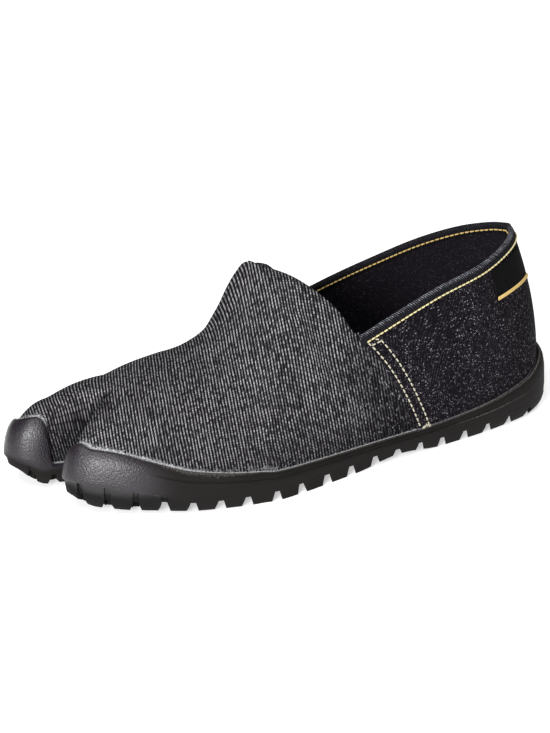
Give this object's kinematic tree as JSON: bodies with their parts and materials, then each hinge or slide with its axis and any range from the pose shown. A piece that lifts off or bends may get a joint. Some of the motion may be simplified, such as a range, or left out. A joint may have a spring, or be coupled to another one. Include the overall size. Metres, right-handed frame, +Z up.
{
  "type": "split-toe slip-on shoe",
  "caption": "Low slip-on shoe with a separate big toe, a hollow denim upper with a raised vamp tongue and a moulded lugged rubber sole with toe caps, worn on a left foot.",
  "frame": {"origin": "middle of the shoe's box at the level of the floor under the flat heel and ball", "axes": "+X toward the toes, +Y toward the outer side of the left foot, +Z up"},
  "size_m": [0.277, 0.1021, 0.094],
  "materials": {
    "denim": "black twill with pale threads",
    "rubber": "fine pebble, soft sheen",
    "footbed": "matt",
    "patch": "matt"
  },
  "bodies": {
    "root": {"upper": "denim", "outsole": "rubber", "insole": "footbed", "heel_label": "patch"}
  },
  "joints": []
}
